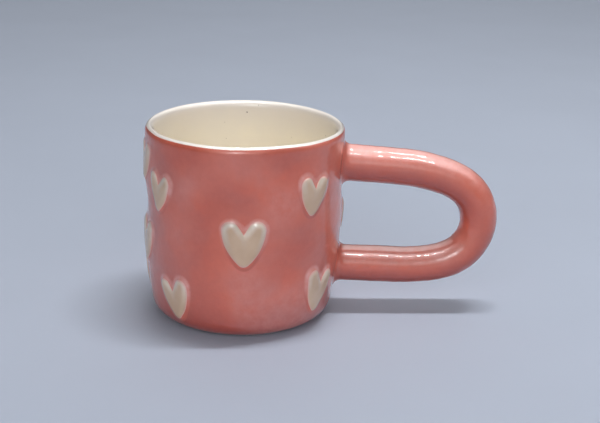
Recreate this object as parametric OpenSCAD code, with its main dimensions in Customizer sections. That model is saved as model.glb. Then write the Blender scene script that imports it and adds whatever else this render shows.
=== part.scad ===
// Slab-built ceramic cup with a round coil handle and pressed-on heart reliefs.
// The foot rests on z = 0 and the cup's axis is the Z axis. The handle points along +X,
// and -Y is the front. Azimuths are counted from the front towards the handle.

/* [Body] */
// Height from the foot to the top of the rim
cup_h = 85.7; // [80:0.1:95]
// Outer radius of the glazed rim
rim_r = 43.5; // [41:0.1:48]
// How far the glazed side draws in from the rim to half height
waist_in = 0.5; // [0:0.1:1.5]
// How far the glazed side draws in from the rim to the rounded heel
heel_in = 2.8; // [1.5:0.1:5]
// Radius of the rounded heel
heel_round = 8.2; // [4:0.1:11]
// Height of the bare foot below the glazed body
foot_h = 0.8; // [0.5:0.1:2.5]
// Thickness of the wall with a coat of glaze on each side
wall_t = 3.8; // [3.4:0.1:5]
// Height of the glazed floor inside, above the foot plane
floor_t = 6.4; // [5:0.1:9]
// Radius of the rounded inner corner
corner_round = 7; // [4:0.1:12]

/* [Glaze] */
// Thickness of a coat of glaze on the wall and the handle
glaze_t = 0.4; // [0.3:0.05:0.6]
// Height of the cream lip, from the top of the rim down to the pink coat
rim_lap = 1.1; // [0.7:0.1:1.6]

/* [Handle] */
// Radius of the glazed handle coil
handle_r = 8.15; // [6:0.05:9]
// Depth of the upper arm's axis below the top of the rim, at the wall
root_drop = 17.2; // [15:0.1:20]
// Height of the lower arm's axis above the foot plane, at the wall
lower_root_h = 21.6; // [19:0.1:25]
// Slope of the upper arm, in degrees below level
arm_slope = 4.5; // [0:0.5:8]
// Length of the straight part of the upper arm, from the wall
arm_len = 26; // [18:0.5:34]
// Radius of the easy curve that leads from the upper arm into the bend
upper_ease_r = 70; // [50:1:90]
// Turn of the upper easy curve, in degrees
upper_ease_turn = 20.5; // [14:0.5:24]
// Radius of the easy curve that leads from the bend into the lower arm
lower_ease_r = 80; // [50:1:90]
// Turn of the lower easy curve, in degrees
lower_ease_turn = 14.7; // [10:0.1:18]
// Slope of the lower arm, in degrees below level and away from the wall
lower_slope = 2.1; // [0:0.1:5]
// Reach of the smoothed slip along the coil at each root
root_fillet = 3; // [2:0.1:3.8]

/* [Hearts] */
// Width of the largest heart's cream face
heart_w = 18.7; // [17:0.1:19.5]
// Height of the largest heart's cream face
heart_len = 19.8; // [18:0.1:20.5]
// Radius of a lobe
lobe_r = 3.7; // [3.2:0.1:4.3]
// Radius of a long flank
flank_r = 22; // [18:0.5:40]
// Depth of the cleft below the top of the lobes
cleft_depth = 5.7; // [4.8:0.1:7]
// Radius of the blunt tip
tip_r = 2.8; // [1.4:0.1:3.2]
// Width of the pink shoulder round the cream face
shoulder_w = 1.2; // [0.6:0.1:1.4]
// Height of the relief over the pink coat
relief_h = 1.1; // [0.6:0.1:2]
// Thickness of the cream glaze on a heart
face_t = 0.35; // [0.2:0.05:0.6]

/* [Hidden] */
$fn = 96;
// Overrun of every cutting shape
overrun = 2;

// Height of the upper arm's axis at the wall, and the share of the cup's height at which
// the heart inside the handle's loop lies midway between the roots
root_z = cup_h - root_drop;
loop_share = (root_z + lower_root_h) / 2 / cup_h;

// Each heart's name, azimuth and tilt in degrees, height as a share of the cup's height,
// and size as a share of the largest heart
heart_shares = [
    ["front", 0.5, 0, 0.527, 1],
    ["front_right_top", 41.5, -6, 0.741, 0.86],
    ["front_right_bottom", 49.5, -12, 0.228, 0.98],
    ["right", 94, 4, loop_share, 0.88],
    ["back_right_top", 131, 8, 0.77, 0.92],
    ["back_right_bottom", 140, -6, 0.222, 0.96],
    ["back", 178, 5, 0.513, 1],
    ["back_left_top", 214, -10, 0.78, 0.94],
    ["back_left_bottom", 222, 8, 0.251, 0.98],
    ["left_back", 250, -5, 0.595, 0.95],
    ["left_bottom", 263, 10, 0.193, 0.92],
    ["left_top", 283, 0, 0.836, 0.87],
    ["left", 284, -3, 0.42, 1],
    ["front_left_top", 305, -5, 0.72, 0.84],
    ["front_left_bottom", 317, 12, 0.189, 0.94]
];
heart_names = [for (h = heart_shares) str("heart_", h[0])];
// Straight steps along a heart's flank
flank_sides = 6;

pink = [0.72, 0.41, 0.38];
cream = [0.9, 0.86, 0.76];
clay = [0.86, 0.8, 0.7];

// Heights and radii that several pieces share
lip_r = wall_t / 2;
top_z = cup_h - lip_r;
waist_r = rim_r - waist_in;
waist_z = cup_h / 2;
heel_r = rim_r - heel_in;
heel_z = foot_h + heel_round;
foot_r = heel_r - heel_round;
joint_z = floor_t - glaze_t;
corner_z = floor_t + corner_round;
lap_angle = asin(1 - rim_lap / lip_r);

// Outer radius of the glazed side: it fills out from the heel to the waist, and flares
// a little from the waist to the rim
function side_r(z) =
    z < heel_z ? heel_r
    : z < waist_z ? waist_r - (waist_r - heel_r) * pow((waist_z - z) / (waist_z - heel_z), 2)
    : waist_r + (rim_r - waist_r) * pow((z - waist_z) / (top_z - waist_z), 2);

// Points on an arc, from one angle to another
function arc(centre, r, from, to, steps) =
    [for (i = [0:steps]) centre + r * [cos(from + (to - from) * i / steps),
                                       sin(from + (to - from) * i / steps)]];
function backwards(points) = [for (i = [len(points) - 1:-1:0]) points[i]];

// Outlines in the half plane of radius and height, all at a depth below the glaze
function heel_line(depth) = arc([foot_r, heel_z], heel_round - depth, -90, 0, 8);
function side_line(depth) =
    [for (i = [1:7]) let (z = heel_z + (waist_z - heel_z) * i / 7) [side_r(z) - depth, z],
     for (i = [1:3]) let (z = waist_z + (top_z - waist_z) * i / 3) [side_r(z) - depth, z]];
function lip_line(depth, from, to) =
    arc([rim_r - lip_r, top_z], lip_r - depth, from, to, 8);
inner_low_r = side_r(corner_z) - wall_t;
function inner_line(depth) =
    [for (i = [6:-1:0]) let (z = corner_z + (top_z - corner_z) * i / 7)
        [side_r(z) - wall_t + depth, z]];
function corner_line(depth) =
    arc([inner_low_r - corner_round, corner_z], corner_round + depth, 0, -90, 8);

// Everything inside the outer surface at a depth, drawn on straight past the rim
module filled_body(depth) {
    past_rim = cup_h + overrun;
    rotate_extrude()
        polygon(concat([[0, foot_h + depth]], heel_line(depth), side_line(depth),
                       [[rim_r - depth, past_rim], [0, past_rim]]));
}

// The bare clay of floor and wall together, with a square inner corner
module clay_body() {
    rotate_extrude()
        polygon(concat([[0, 0], [foot_r, 0]], heel_line(glaze_t), side_line(glaze_t),
                       lip_line(glaze_t, 0, 180), inner_line(glaze_t),
                       [[inner_low_r + glaze_t, joint_z], [0, joint_z]]));
}

module floor_slab() {
    color(clay)
        intersection() {
            clay_body();
            cylinder(h = joint_z, r = heel_r + overrun);
        }
}

module wall() {
    color(clay)
        difference() {
            clay_body();
            translate([0, 0, -overrun])
                cylinder(h = joint_z + overrun, r = heel_r + overrun);
        }
}

module seam_coil() {
    color(clay)
        rotate_extrude()
            polygon(concat([[inner_low_r + glaze_t, joint_z]], corner_line(glaze_t)));
}

module liner_glaze() {
    color(cream)
        rotate_extrude()
            polygon(concat(lip_line(0, lap_angle, 180), inner_line(0), corner_line(0),
                           [[0, floor_t], [0, joint_z]], backwards(corner_line(glaze_t)),
                           backwards(inner_line(glaze_t)),
                           backwards(lip_line(glaze_t, lap_angle, 180))));
}

module outer_glaze() {
    color(pink)
        difference() {
            rotate_extrude()
                polygon(concat(heel_line(0), side_line(0), lip_line(0, 0, lap_angle),
                               backwards(lip_line(glaze_t, 0, lap_angle)),
                               backwards(side_line(glaze_t)),
                               backwards(heel_line(glaze_t))));
            upper_root(0);
            lower_root(0);
            for (h = heart_shares)
                heart_prism(h, shoulder_w);
        }
}

// The handle's path, in the plane of X and Z. It starts on the wall and turns clockwise,
// so a turn's centre lies to the right of the heading. A turn's step is its length in X
// and Z for each unit of its radius.
function heading(a) = [cos(a), sin(a)];
function turn_centre(p, a, r) = p + r * heading(a - 90);
function turn_step(a, turn) = heading(a - 90) + heading(a - turn + 90);

upper_foot = [side_r(root_z), root_z];
lower_foot = [side_r(lower_root_h), lower_root_h];
upper_heading = -arm_slope;
bend_heading = upper_heading - upper_ease_turn;
lower_heading = -180 - lower_slope;
lower_ease_heading = lower_heading + lower_ease_turn;
bend_turn = bend_heading - lower_ease_heading;
ease_start = upper_foot + arm_len * heading(upper_heading);
bend_start = ease_start + upper_ease_r * turn_step(upper_heading, upper_ease_turn);
bend_step = turn_step(bend_heading, bend_turn);
lower_ease_step = lower_ease_r * turn_step(lower_ease_heading, lower_ease_turn);

// The tight bend is as wide as takes the coil from the upper arm's line to the lower's
across = heading(lower_heading + 90);
bend_r = (lower_foot - lower_ease_step - bend_start) * across / (bend_step * across);
lower_ease_start = bend_start + bend_r * bend_step;
lower_start = lower_ease_start + lower_ease_step;
lower_len = norm(lower_foot - lower_start);
// How far an arm is drawn on inside the wall before the wall cuts it
root_sink = handle_r / 2;
// How far a thinner stretch of the coil runs on into a thicker one, and how much thicker
// that one is
coil_lap = handle_r / 10;
coil_swell = handle_r / 100;

module handle_plane() {
    rotate([90, 0, 0])
        children();
}

// A straight cone or rod along a heading, with its radius at each end
module rod(p, a, length, r_start, r_end) {
    translate([p[0], p[1], 0])
        rotate([0, 90, a])
            cylinder(h = length, r1 = r_start, r2 = r_end);
}

// A clockwise bend of round section. It is drawn on by a lap at both ends.
module bend(p, a, r, turn, coil_r, lap) {
    centre = turn_centre(p, a, r);
    lap_turn = asin(lap / r);
    translate([centre[0], centre[1], 0])
        rotate([0, 0, a + 90 - turn - lap_turn])
            rotate_extrude(angle = turn + 2 * lap_turn, start = 0)
                translate([r, 0])
                    circle(r = coil_r);
}

// The two arms at a depth below their glaze, each drawn on inside the wall
module upper_arm(depth) {
    arm_coil_r = handle_r - 2 * coil_swell - depth;
    handle_plane()
        rod(upper_foot - root_sink * heading(upper_heading), upper_heading,
            root_sink + arm_len + coil_lap, arm_coil_r, arm_coil_r);
}

module lower_arm(depth) {
    arm_coil_r = handle_r - 2 * coil_swell - depth;
    handle_plane()
        rod(lower_start - coil_lap * heading(lower_heading), lower_heading,
            coil_lap + lower_len + root_sink, arm_coil_r, arm_coil_r);
}

// The whole coil at a depth below its glaze. Each stretch nearer the bend is a swell
// thicker, and takes in the end of the thinner one.
module coil(depth) {
    ease_coil_r = handle_r - coil_swell - depth;
    upper_arm(depth);
    lower_arm(depth);
    handle_plane() {
        bend(ease_start, upper_heading, upper_ease_r, upper_ease_turn, ease_coil_r,
             coil_lap);
        bend(bend_start, bend_heading, bend_r, bend_turn, handle_r - depth, 0);
        bend(lower_ease_start, lower_ease_heading, lower_ease_r, lower_ease_turn,
             ease_coil_r, coil_lap);
    }
}

// The slip at a root, at a depth below its glaze: a cone at 45 degrees that meets the
// coil at the fillet's reach
module root_cone(p, a, depth) {
    reach = root_fillet - depth * (sqrt(2) - 1);
    wall_side = root_sink;
    coil_side = handle_r / 8;
    handle_plane()
        rod(p - wall_side * heading(a), a, wall_side + reach + coil_side,
            handle_r - depth + reach + wall_side, handle_r - depth - coil_side);
}

module upper_root(depth) {
    root_cone(upper_foot, upper_heading, depth);
}

module lower_root(depth) {
    root_cone(lower_foot, lower_heading + 180, depth);
}

module handle() {
    color(clay)
        difference() {
            coil(glaze_t);
            filled_body(glaze_t);
        }
}

module upper_luting() {
    color(clay)
        difference() {
            upper_root(glaze_t);
            upper_arm(glaze_t);
            filled_body(glaze_t);
        }
}

module lower_luting() {
    color(clay)
        difference() {
            lower_root(glaze_t);
            lower_arm(glaze_t);
            filled_body(glaze_t);
        }
}

module handle_glaze() {
    color(pink)
        difference() {
            union() {
                coil(0);
                upper_root(0);
                lower_root(0);
            }
            coil(glaze_t);
            upper_root(glaze_t);
            lower_root(glaze_t);
            filled_body(glaze_t);
        }
}

// A heart's outline, for a size share and grown all round by a margin: two round lobes,
// a blunt round tip, and flanks that are long arcs tangent to them. The cleft's sides are
// tangent to the lobes too.
function heart_outline(size_share, margin) =
    let (
        lobe = [heart_w / 2 - lobe_r, heart_len / 2 - lobe_r],
        tip = [0, tip_r - heart_len / 2],
        cleft = [0, heart_len / 2 - cleft_depth],
        to_lobe = lobe - cleft,
        cleft_angle = atan2(to_lobe[0], to_lobe[1]) - asin(lobe_r / norm(to_lobe)),
        gap = norm(tip - lobe),
        ahead = (tip - lobe) / gap,
        along = (pow(flank_r - lobe_r, 2) - pow(flank_r - tip_r, 2) + gap * gap) / (2 * gap),
        aside = sqrt(pow(flank_r - lobe_r, 2) - along * along),
        flank = lobe + along * ahead + aside * [ahead[1], -ahead[0]],
        flank_start = atan2(lobe[1] - flank[1], lobe[0] - flank[0]),
        flank_end = atan2(tip[1] - flank[1], tip[0] - flank[0]),
        flank_step = (flank_end - flank_start) / flank_sides,
        half = concat(
            arc(lobe * size_share, lobe_r * size_share + margin,
                180 - cleft_angle, flank_start, 10),
            arc(flank * size_share, flank_r * size_share + margin,
                flank_start + flank_step, flank_end - flank_step, flank_sides - 2),
            arc(tip * size_share, tip_r * size_share + margin, flank_end, -90, 3)
        )
    )
    concat(
        [cleft * size_share + [0, margin / sin(cleft_angle)]],
        half,
        [for (i = [len(half) - 2:-1:0]) [-half[i][0], half[i][1]]]
    );

// A heart's outline pushed out through the wall, from inside the clay
module heart_prism(h, margin) {
    inside_r = heel_r - wall_t;
    rotate([0, 0, h[1]])
        translate([0, -inside_r, h[3] * cup_h])
            rotate([90, -h[2], 0])
                linear_extrude(height = rim_r + relief_h + face_t + overrun - inside_r)
                    polygon(heart_outline(h[4], margin));
}

// A pressed clay heart with its pink shoulder, seated on the clay of the wall
module heart(h) {
    color(pink)
        intersection() {
            heart_prism(h, shoulder_w);
            difference() {
                filled_body(-relief_h);
                filled_body(glaze_t);
            }
        }
}

// The cream glaze on a heart's face
module heart_glaze(h) {
    color(cream)
        intersection() {
            heart_prism(h, 0);
            difference() {
                filled_body(-relief_h - face_t);
                filled_body(-relief_h);
            }
        }
}

floor_slab();
wall();
seam_coil();
liner_glaze();
outer_glaze();
handle();
upper_luting();
lower_luting();
handle_glaze();
for (h = heart_shares) {
    heart(h);
    heart_glaze(h);
}
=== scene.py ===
"""Looks of a hand-built ceramic cup with a round coil handle and pressed hearts."""

from collections import namedtuple
from math import asin, atan2, cos, degrees, pi, radians, sin
from types import SimpleNamespace

import bpy
import numpy as np
from mathutils import Matrix, Vector


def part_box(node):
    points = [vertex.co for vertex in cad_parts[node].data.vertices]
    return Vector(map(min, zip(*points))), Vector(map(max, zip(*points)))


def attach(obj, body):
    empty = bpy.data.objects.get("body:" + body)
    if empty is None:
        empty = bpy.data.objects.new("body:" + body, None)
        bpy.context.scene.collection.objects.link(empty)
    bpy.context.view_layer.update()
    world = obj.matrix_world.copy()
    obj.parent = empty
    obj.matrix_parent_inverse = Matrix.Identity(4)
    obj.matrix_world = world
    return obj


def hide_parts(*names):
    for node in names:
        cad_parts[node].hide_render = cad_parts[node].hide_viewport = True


bl_info = {
    "name": "Hand-built ceramic cup",
    "version": (1, 0, 0),
    "blender": (4, 5, 0),
    "location": "View3D > Sidebar > Cup",
    "description": "Builds the clay, the glaze coats and the hearts of a ceramic cup",
    "category": "Add Mesh",
}

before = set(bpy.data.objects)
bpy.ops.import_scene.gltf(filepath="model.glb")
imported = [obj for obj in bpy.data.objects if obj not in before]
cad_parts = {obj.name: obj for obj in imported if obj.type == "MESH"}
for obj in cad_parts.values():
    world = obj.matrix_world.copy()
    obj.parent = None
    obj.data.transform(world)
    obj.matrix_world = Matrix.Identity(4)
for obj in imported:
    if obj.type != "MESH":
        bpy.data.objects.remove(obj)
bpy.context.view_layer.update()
MM = 0.001
BODY = "root"

# The sizes that the frame itself holds, in millimetres
cup_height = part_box("liner_glaze")[1].z / MM
rim_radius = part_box("outer_glaze")[1].x / MM
clay_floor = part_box("floor_slab")[1].z / MM
foot_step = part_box("outer_glaze")[0].z / MM

# Each heart: azimuth and tilt in degrees, height as a share of the cup's height and size
# as a share of the largest heart, as in the frame. Then how its painted face lies on the
# relief: moved across and up in millimetres, and its width and height as shares. Last
# comes the height of its relief, as a share of the highest.
Heart = namedtuple("Heart", "name azimuth tilt level size face_move face_shares relief")
HEARTS = [
    Heart("front", 0.5, 0, 0.527, 1.0, (-0.35, 0.1), (1.0, 1.0), 1.0),
    Heart("front_right_top", 41.5, -6, 0.741, 0.86, (-0.3, -0.7), (0.9, 0.97), 1.0),
    Heart("front_right_bottom", 49.5, -12, 0.228, 0.98, (0.2, -0.5), (0.93, 0.97), 1.0),
    Heart("right", 94, 4, 0.5257, 0.88, (0.3, 0.2), (0.95, 0.96), 0.8),
    Heart("back_right_top", 131, 8, 0.77, 0.92, (-0.3, -0.4), (0.96, 0.95), 1.0),
    Heart("back_right_bottom", 140, -6, 0.222, 0.96, (0.4, -0.3), (0.94, 0.98), 1.0),
    Heart("back", 178, 5, 0.513, 1.0, (0.3, -0.2), (0.98, 0.98), 1.0),
    Heart("back_left_top", 214, -10, 0.78, 0.94, (0.2, -0.6), (0.95, 0.95), 1.0),
    Heart("back_left_bottom", 222, 8, 0.251, 0.98, (-0.4, 0.1), (0.97, 0.96), 1.0),
    Heart("left_back", 250, -5, 0.595, 0.95, (0.3, -0.3), (0.94, 0.97), 1.0),
    Heart("left_bottom", 263, 10, 0.193, 0.92, (-0.2, -0.4), (0.96, 0.96), 0.7),
    Heart("left_top", 283, 0, 0.836, 0.87, (0.2, -0.2), (0.97, 0.96), 0.45),
    Heart("left", 284, -3, 0.42, 1.0, (-0.3, 0.0), (0.95, 0.98), 0.8),
    Heart("front_left_top", 305, -5, 0.72, 0.84, (-0.5, -0.5), (0.92, 0.98), 0.9),
    Heart("front_left_bottom", 317, 12, 0.189, 0.94, (-0.2, -0.4), (0.95, 0.97), 1.0),
]

# Points round each kind of piece
AROUND_CLAY = 192
AROUND_COAT = 384
AROUND_COIL = 112
AROUND_HEART = 144

# Rows on each stretch of a section
FLAT_ROWS = 24
SIDE_ROWS = 60
CORNER_ROWS = 20
LIP_ROWS = 12

# Steps between rows in millimetres: of the clay, of the coats' faces and of their backs
CLAY_STEP = 1.5
SIDE_STEP = 0.75
INSIDE_STEP = 1.0
LIP_STEP = 0.2
LIP_BACK_STEP = 0.6
BACK_STEP = 4

# Small distances between layers, in millimetres: what a joint keeps free of rows, the lip
# of cream over the pink, the skin of a heart over the wall, the back of a heart's face in
# its relief, the handle's coat sunk at its roots, and the coil under its coat
JOINT_GAP = 0.3
LIP_OVER = 0.06
SKIN_OVER = 0.02
FACE_SUNK = 0.12
ROOT_SUNK = 0.04
COIL_UNDER = 0.25


def length(name, text, default):
    """A length that a user may change, given in millimetres and kept in metres."""
    return bpy.props.FloatProperty(
        name=name, description=text, default=default * MM, min=0, precision=5, subtype="DISTANCE"
    )


def slope(name, text, default):
    """An angle that a user may change, given in degrees and kept in radians."""
    return bpy.props.FloatProperty(
        name=name, description=text, default=radians(default), min=0, subtype="ANGLE"
    )


def tint(name, text, default):
    """A colour that a user may change."""
    return bpy.props.FloatVectorProperty(
        name=name, description=text, default=default, size=3, min=0, max=1, subtype="COLOR"
    )


class CupBodySizes(bpy.types.PropertyGroup):
    """Sizes of the clay body and its coats."""

    waist_in: length("Waist inset", "How far the side draws in to half height", 0.5)
    heel_in: length("Heel inset", "How far the side draws in to the heel", 2.8)
    heel_round: length("Heel rounding", "Radius of the rounded heel", 8.2)
    wall: length("Wall", "Thickness of the wall with both coats", 3.8)
    corner_round: length("Inner corner", "Radius of the rounded inner corner", 7.0)
    glaze: length("Glaze", "Thickness of a coat of glaze", 0.4)
    rim_lap: length("Rim lap", "Height of the cream lip above the pink coat", 1.1)
    lean: length("Lean", "How far the foot stands off the rim's centre", 0.9)
    dent: length("Dents", "Depth of the deepest finger dents", 0.6)
    wave: length("Rim wave", "Height of the rim's waves", 0.22)


class CupHandleSizes(bpy.types.PropertyGroup):
    """Sizes of the handle's coil."""

    coil_r: length("Coil radius", "Radius of the glazed coil", 8.15)
    root_drop: length("Root drop", "Depth of the upper root below the rim", 17.2)
    lower_root: length("Lower root", "Height of the lower root above the foot", 21.6)
    arm_slope: slope("Arm slope", "Slope of the upper arm", 4.5)
    arm_len: length("Arm", "Length of the straight upper arm", 26.0)
    upper_ease_r: length("Upper ease", "Radius of the upper easy curve", 70.0)
    upper_ease_turn: slope("Upper ease turn", "Turn of that curve", 20.5)
    lower_ease_r: length("Lower ease", "Radius of the lower easy curve", 80.0)
    lower_ease_turn: slope("Lower ease turn", "Turn of that curve", 14.7)
    lower_slope: slope("Lower slope", "Slope of the lower arm", 2.1)
    fillet: length("Root fillet", "Radius of the smoothed slip at a root", 3.5)
    ripple: length("Ripple", "Height of the coil's rolled ripples", 0.07)


class CupHeartSizes(bpy.types.PropertyGroup):
    """Sizes of the largest heart."""

    width: length("Width", "Width of the cream face", 18.7)
    height: length("Height", "Height of the cream face", 19.8)
    lobe_r: length("Lobe", "Radius of a lobe", 3.7)
    flank_r: length("Flank", "Radius of a long flank", 22)
    cleft: length("Cleft", "Depth of the cleft below the lobes", 5.7)
    tip_r: length("Tip", "Radius of the blunt tip", 2.8)
    relief: length("Relief", "Height of the relief over the pink coat", 1.25)
    shoulder: length("Shoulder", "Width of the soft pink shoulder", 1.7)
    round_in: length("Rounding", "How far the relief's rounding reaches inwards", 3.4)
    face: length("Face glaze", "Thickness of the cream glaze", 0.2)


class CupColours(bpy.types.PropertyGroup):
    """Colours of the glazes and the clay, as linear values."""

    pink: tint("Pink", "Salmon pink glaze", (0.75, 0.150, 0.086))
    mauve: tint("Mauve", "Mauve clouds in the pink glaze", (0.69, 0.166, 0.115))
    # Blush also paints highlights and sheen on the pink, as well as its thin edges
    blush: tint("Blush", "Pink glaze where it runs thin over an edge", (0.84, 0.41, 0.37))
    cream: tint("Cream", "Cream glaze", (0.86, 0.79, 0.72))
    butter: tint("Butter", "Cream glaze where it lies thick", (0.99, 0.91, 0.75))
    bisque: tint("Bisque", "Cream glaze on a heart, at its palest", (0.84, 0.64, 0.46))
    beige: tint("Beige", "Cream glaze on a heart, thin over the clay", (0.65, 0.435, 0.285))
    speck: tint("Speck", "Iron specks", (0.16, 0.10, 0.06))
    clay: tint("Clay", "Bare fired clay", (0.60, 0.51, 0.40))
    sand: tint("Sand", "Darker grains in the clay", (0.45, 0.36, 0.26))
    # Deep pink also paints shade on the pink, in hollows, at the heel and under the handle and the
    # hearts, as well as pooled glaze
    deep: tint("Deep pink", "Pink glaze where it pools", (0.42, 0.060, 0.038))
    floor: tint("Floor", "The pale floor", (0.49, 0.545, 0.66))
    floor_shade: tint("Floor shade", "Faint shades in the floor", (0.44, 0.49, 0.595))


class CupSettings(bpy.types.PropertyGroup):
    """All that a user would change on the cup."""

    body: bpy.props.PointerProperty(type=CupBodySizes, name="Body", description="The body")
    handle: bpy.props.PointerProperty(type=CupHandleSizes, name="Handle", description="The handle")
    heart: bpy.props.PointerProperty(type=CupHeartSizes, name="Hearts", description="The hearts")
    colours: bpy.props.PointerProperty(type=CupColours, name="Colours", description="The glazes")


def sizes(group):
    """One group of the scene's settings, its lengths in millimetres and its angles in
    degrees."""
    stored = getattr(bpy.context.scene.ceramic_cup, group)
    scale = {"DISTANCE": 1 / MM, "ANGLE": degrees(1)}
    return SimpleNamespace(**{
        key: getattr(stored, key) * scale[stored.bl_rna.properties[key].subtype]
        for key in type(stored).__annotations__})


def tints():
    """The scene's colours, each with its alpha."""
    stored = bpy.context.scene.ceramic_cup.colours
    return SimpleNamespace(**{
        key: (*getattr(stored, key), 1) for key in type(stored).__annotations__})


# Curves and waves

def rise(value, start, end):
    """From 0 to 1 as a value goes from start to end, level at both, by three times the
    square of the way less twice its cube."""
    way = np.clip((value - start) / (end - start), 0, 1)
    return way * way * (3 - 2 * way)


def waves(rows, angle, along=0.0):
    """Sum of sine waves round and along a surface. Each row is a wave's height, how many
    go round, how many radians it turns in a millimetre along, and where it starts."""
    return sum(height * np.sin(turn * along + count * angle + start)
               for height, count, turn, start in rows)


def bell(reach, fine, soften):
    """Weights of a bell-shaped average, reach steps of fine millimetres to each side. They
    fall off over soften millimetres."""
    weights = np.exp(-0.5 * (np.arange(-reach, reach + 1) * fine / soften) ** 2)
    return weights / weights.sum()


def distances(line):
    """How far along a line each of its points lies."""
    return np.concatenate([[0], np.cumsum(np.hypot(*np.diff(line, axis=0).T))])


def picked(line, along, at):
    """Places on a line whose points lie at distances along it, found at other distances."""
    return np.stack([np.interp(at, along, line[:, k]) for k in (0, 1)], -1)


def even(line, step, soften=1.2):
    """Spaces a line's points evenly and rounds its corners with a bell-shaped average
    along it, which keeps both ends."""
    fine = 0.25
    along = distances(line)
    count = int(along[-1] / fine) + 2
    dense = picked(line, along, np.linspace(0, along[-1], count))
    reach = int(3 * soften / fine)
    before = 2 * dense[0] - dense[1:reach + 1][::-1]
    after = 2 * dense[-1] - dense[-reach - 1:-1][::-1]
    padded = np.concatenate([before, dense, after])
    weights = bell(reach, fine, soften)
    soft = np.stack([np.convolve(padded[:, k], weights, "valid") for k in (0, 1)], 1)
    rows = max(3, int(along[-1] / step) + 1)
    return picked(soft, np.arange(count), np.linspace(0, count - 1, rows))


def arc(centre, radius, start, end, count):
    """Points of radius and height on an arc, by its angles in degrees."""
    angle = np.radians(np.linspace(start, end, count))
    return np.stack([centre[0] + radius * np.cos(angle), centre[1] + radius * np.sin(angle)], 1)


def flat(start, end, height):
    """Points of radius and height from one radius to another, all at one height."""
    return np.stack([np.linspace(start, end, FLAT_ROWS), np.full(FLAT_ROWS, height)], 1)


def on_ring(radius, azimuth, z):
    """Points by radius, azimuth and height. The azimuth is 0 at the front and grows
    towards the handle."""
    return np.stack([radius * np.sin(azimuth), -radius * np.cos(azimuth), z], -1)


def ring_place(points):
    """Radius, azimuth and height of points."""
    x, y, z = np.moveaxis(points, -1, 0)
    return np.hypot(x, y), np.arctan2(x, -y), z


def turned(line, around):
    """Rings of a line of radius and height turned round the axis: rings, around, 3."""
    azimuth = np.linspace(0, 2 * pi, around, endpoint=False)
    return on_ring(line[:, :1], azimuth, line[:, 1:] + 0 * azimuth)


# The hand-made shape

# Marks of the fingers on the front: azimuth in degrees, height and reach in millimetres,
# and depth as a share of the deepest, more than 0 where the wall bulges
FRONT_DENTS = [
    (-34, 68, 6, 0.7), (-12, 65, 6.5, -0.6), (2, 62, 6, -0.5), (-24, 55, 6, -0.5),
    (-25, 42, 7, -0.5), (-40, 46, 8, 0.6), (21, 60, 8, 0.7), (10, 75, 6, 0.5),
    (20, 82, 8, -0.8), (34, 43, 9, -0.6), (3, 22, 9, 0.5), (-16, 20, 7, -0.4),
    (-12, 79, 7, 0.4), (62, 50, 10, 0.6), (30, 14, 9, 0.5), (50, 66, 8, 0.4),
    (-30, 82, 7, -0.5), (18, 30, 7, -0.4),
]
# The others lie at random within these ranges
BACK_DENTS = 64
BACK_RANGES = ((68, 312), (4, 84), (5, 9), (-1, 1))
dent_rng = np.random.default_rng(11)
DENTS = FRONT_DENTS + list(zip(*[
    dent_rng.uniform(low, high, BACK_DENTS) for low, high in BACK_RANGES]))

# Waves in rows as the sum of waves reads them: slow swells of the wall, the rim's waves
# and the height of all three together, and the brushed edge of the cream
SWELLS = ((0.25, 2, 0, 0.6), (0.2, 3, 0.05, 0))
RIM_WAVES = ((1, 2, 0, 1.1), (0.6, 3, 0, -0.4), (0.35, 7, 0, 0))
RIM_WAVES_HEIGHT = 1.95
LAP_WAVES = ((0.08, 5, 0, 0.8), (0.03, 9, 0, 0))

# The dents are full from this share of the rim's radius outwards and from this height in
# millimetres upwards, and the rim's waves start at this share of the height
FULL_DENT_SHARE = 0.8
FULL_DENT_HEIGHT = 12
WAVES_START_SHARE = 0.6

# The pink glaze: how much it darkens in hollows and pales on bulges at the most, as shares,
# the dents' shares over which each comes in, and up to which height in millimetres it
# darkens at the heel. This is partly glaze that pools and runs thin, and partly painted
# shade in the hollows and down at the heel and a painted highlight on the bulges.
HOLLOW_POOL_AND_SHADE = 0.42
HOLLOW_RANGE = (0.25, -0.75)
BULGE_THIN_AND_HIGHLIGHT = 0.25
BULGE_RANGE = (0.05, 0.65)
HEEL_POOL_AND_SHADE_HEIGHT = 22


def dents(azimuth, z):
    """Sum of round bumps and hollows on the unrolled wall, with two slow swells round it.
    Each is its depth times the exponential of minus half the squared distance from its
    place, counted in its reach."""
    total = waves(SWELLS, azimuth, z)
    for place, height, reach, depth in DENTS:
        across = (azimuth - radians(place) + pi) % (2 * pi) - pi
        distance = (across * rim_radius) ** 2 + (z - height) ** 2
        total = total + depth * np.exp(-distance / (2 * reach**2))
    return total * sizes("body").dent


def glaze_run_and_shading(points):
    """How the pink glaze has run over the dents, with painted light over it: it pools in
    hollows and down at the heel, which also carry painted shade, and is thin on bulges,
    which also carry a painted highlight, each a share from 0 to 1."""
    azimuth, z = ring_place(points)[1:]
    bulge = dents(azimuth, z) / sizes("body").dent
    # Darker in hollows: pooled glaze and painted shade where the dents lie in shade
    pool = HOLLOW_POOL_AND_SHADE * rise(bulge, *HOLLOW_RANGE)
    # Darker down at the heel: pooled glaze and painted shade near the floor
    heel = rise(z, HEEL_POOL_AND_SHADE_HEIGHT, 0)
    # Paler on bulges: thin glaze and a painted highlight where light falls on them
    return {"pool": pool + heel * (1 - pool), "thin": BULGE_THIN_AND_HIGHLIGHT * rise(bulge, *BULGE_RANGE)}


def lean_at(z):
    """How far the lean moves the cup at a height: nothing at the rim and all at the foot."""
    return sizes("body").lean * (z / cup_height - 1)


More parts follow.
